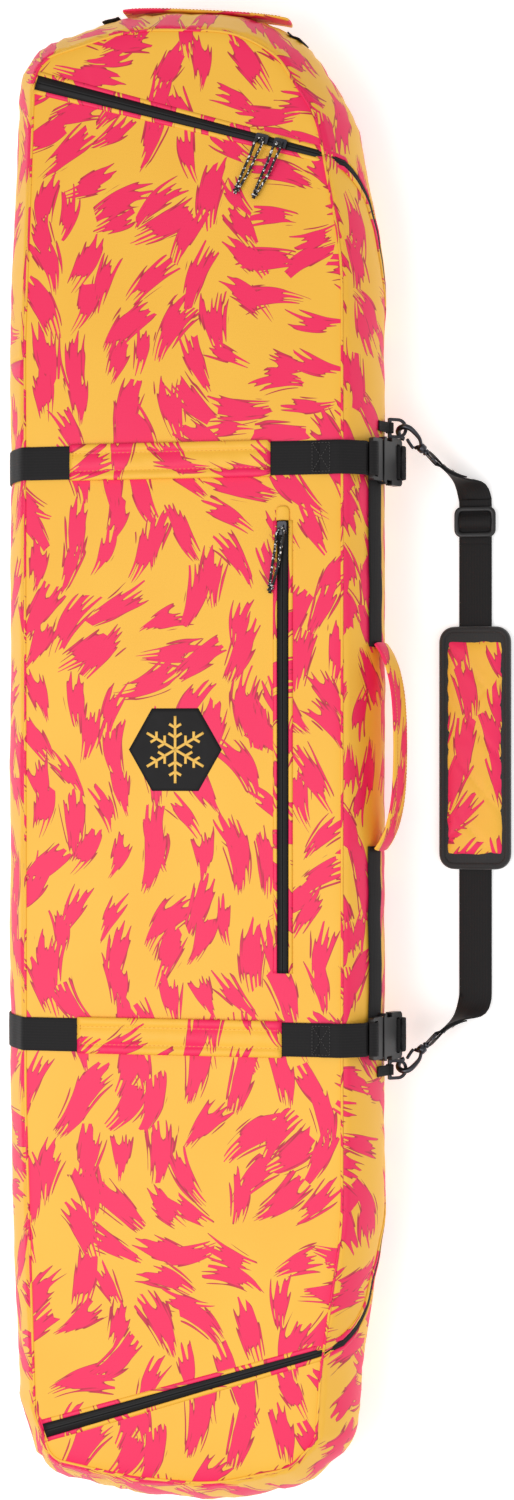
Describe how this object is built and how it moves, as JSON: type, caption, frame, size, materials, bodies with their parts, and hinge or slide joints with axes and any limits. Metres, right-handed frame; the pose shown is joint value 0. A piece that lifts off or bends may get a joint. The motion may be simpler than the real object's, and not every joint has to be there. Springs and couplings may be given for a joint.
{
  "type": "snowboard bag",
  "caption": "Padded soft snowboard bag with a fold-open zippered front, cinch straps, haul handles and a detachable padded shoulder strap.",
  "frame": {"origin": "middle of the back panel's outer face, on the ground that the bag lies on", "axes": "+X across the bag towards the side with the haul handle and the shoulder strap, +Y along the bag towards the end with the grab handle, +Z out of the front panel"},
  "size_m": [0.5831, 1.7321, 0.1605],
  "materials": {
    "printed_polyester": "woven polyester, amber with pink strokes",
    "black_webbing": "ribbed polypropylene webbing",
    "zipper_tape": "knitted zipper tape with a nylon coil",
    "black_acetal": "moulded acetal",
    "dark_metal": "satin black coated zinc",
    "speckled_cord": "braided cord, black with white flecks",
    "foam": "closed-cell foam",
    "lining": "plain lining",
    "black_print": "printed ink"
  },
  "bodies": {
    "shell": {"back_panel": "printed_polyester", "back_foam": "foam", "left_side_panel": "printed_polyester", "right_side_panel": "printed_polyester", "top_gusset": "printed_polyester", "bottom_gusset": "printed_polyester", "top_end_panel": "printed_polyester", "bottom_end_panel": "printed_polyester", "main_zipper_tape_shell": "zipper_tape", "strap_webbing_left": "black_webbing", "top_handle_tabs": "black_webbing"},
    "lid": {"lid_front_panel": "printed_polyester", "lid_side_panel": "printed_polyester", "main_zipper_tape_lid": "zipper_tape", "pocket_zipper_tape": "zipper_tape", "pocket_garage": "printed_polyester", "pocket_pouch": "lining", "emblem": "black_print", "strap_webbing_top": "black_webbing", "strap_webbing_bottom": "black_webbing", "strap_sleeve_top": "printed_polyester", "strap_sleeve_bottom": "printed_polyester", "buckle_female_top": "black_acetal", "buckle_female_bottom": "black_acetal", "buckle_tails": "black_webbing", "side_webbing": "black_webbing", "d_ring_tabs": "black_webbing"},
    "strap_tongue_top": {"buckle_male_top": "black_acetal", "strap_end_top": "black_webbing"},
    "strap_tongue_bottom": {"buckle_male_bottom": "black_acetal", "strap_end_bottom": "black_webbing"},
    "side_handle": {"side_handle": "printed_polyester"},
    "top_handle": {"top_handle": "printed_polyester"},
    "main_slider_left": {"main_slider_left": "dark_metal"},
    "main_slider_right": {"main_slider_right": "dark_metal"},
    "pocket_slider": {"pocket_slider": "dark_metal"},
    "main_pull_left": {"main_pull_left": "speckled_cord"},
    "main_pull_right": {"main_pull_right": "speckled_cord"},
    "pocket_pull": {"pocket_pull": "speckled_cord"},
    "shoulder_strap": {"d_ring_top": "dark_metal", "d_ring_bottom": "dark_metal", "hook_top": "dark_metal", "hook_bottom": "dark_metal", "hook_eye_top": "black_acetal", "hook_eye_bottom": "black_acetal", "shoulder_webbing_top": "black_webbing", "shoulder_webbing": "black_webbing", "shoulder_webbing_bottom": "black_webbing"},
    "hook_gate_top": {"hook_gate_top": "dark_metal"},
    "hook_gate_bottom": {"hook_gate_bottom": "dark_metal"},
    "tri_glide": {"tri_glide": "black_acetal"},
    "shoulder_pad": {"pad_backing": "lining", "pad_foam": "foam", "pad_binding": "black_webbing", "pad_insert": "printed_polyester"}
  },
  "joints": [
    {"name": "lid_hinge", "type": "hinge", "parent": "shell", "child": "lid", "pos_m": [-0.182, 0, 0.15], "axis": [0, -1, 0], "range_deg": [0, 150]},
    {"name": "buckle_top_release", "type": "slide", "parent": "lid", "child": "strap_tongue_top", "axis": [-0.3746, 0, 0.9272], "range_m": [0, 0.024]},
    {"name": "buckle_bottom_release", "type": "slide", "parent": "lid", "child": "strap_tongue_bottom", "axis": [-0.3746, 0, 0.9272], "range_m": [0, 0.024]},
    {"name": "side_handle_lift", "type": "hinge", "parent": "lid", "child": "side_handle", "pos_m": [0.21279, 0.0095, 0.11893], "axis": [0, -1, 0], "range_deg": [0, 80]},
    {"name": "top_handle_lift", "type": "hinge", "parent": "shell", "child": "top_handle", "pos_m": [0.014, 0.849, 0.098], "axis": [0.9943, -0.1065, 0], "range_deg": [0, 80]},
    {"name": "main_slider_left_slide", "type": "slide", "parent": "lid", "child": "main_slider_left", "axis": [-0.9594, 0.282, 0], "range_m": [0, 0.26]},
    {"name": "main_slider_right_slide", "type": "slide", "parent": "lid", "child": "main_slider_right", "axis": [0.9594, -0.282, 0], "range_m": [0, 0.048]},
    {"name": "pocket_slider_slide", "type": "slide", "parent": "lid", "child": "pocket_slider", "axis": [0, -1, 0], "range_m": [0, 0.48]},
    {"name": "main_pull_left_lift", "type": "hinge", "parent": "main_slider_left", "child": "main_pull_left", "pos_m": [0.093, 0.69116, 0.1569], "axis": [-0.8884, 0.4592, 0], "range_deg": [0, 100]},
    {"name": "main_pull_right_lift", "type": "hinge", "parent": "main_slider_right", "child": "main_pull_right", "pos_m": [0.114, 0.68499, 0.1569], "axis": [-0.8884, 0.4592, 0], "range_deg": [0, 100]},
    {"name": "pocket_pull_lift", "type": "hinge", "parent": "pocket_slider", "child": "pocket_pull", "pos_m": [0.116, 0.254, 0.1569], "axis": [-0.9817, 0.1903, 0], "range_deg": [0, 100]},
    {"name": "shoulder_strap_swing", "type": "hinge", "parent": "lid", "child": "shoulder_strap", "pos_m": [0.226, 0.007, 0.076], "axis": [0, -1, 0], "range_deg": [0, 100]},
    {"name": "hook_gate_top_spring", "type": "hinge", "parent": "shoulder_strap", "child": "hook_gate_top", "pos_m": [0.24942, 0.35307, 0.04981], "axis": [0.1971, 0.7119, -0.674], "range_deg": [0, 18], "stiffness_Nm_per_rad": 0.03, "springref_deg": -11.46},
    {"name": "hook_gate_bottom_spring", "type": "hinge", "parent": "shoulder_strap", "child": "hook_gate_bottom", "pos_m": [0.24942, -0.33907, 0.04981], "axis": [-0.1971, 0.7119, 0.674], "range_deg": [0, 18], "stiffness_Nm_per_rad": 0.03, "springref_deg": -11.46},
    {"name": "tri_glide_slide", "type": "slide", "parent": "shoulder_strap", "child": "tri_glide", "axis": [0, -1, 0], "range_m": [0, 0.045]},
    {"name": "shoulder_pad_slide", "type": "slide", "parent": "shoulder_strap", "child": "shoulder_pad", "axis": [0, 1, 0], "range_m": [-0.09, 0.045]}
  ]
}
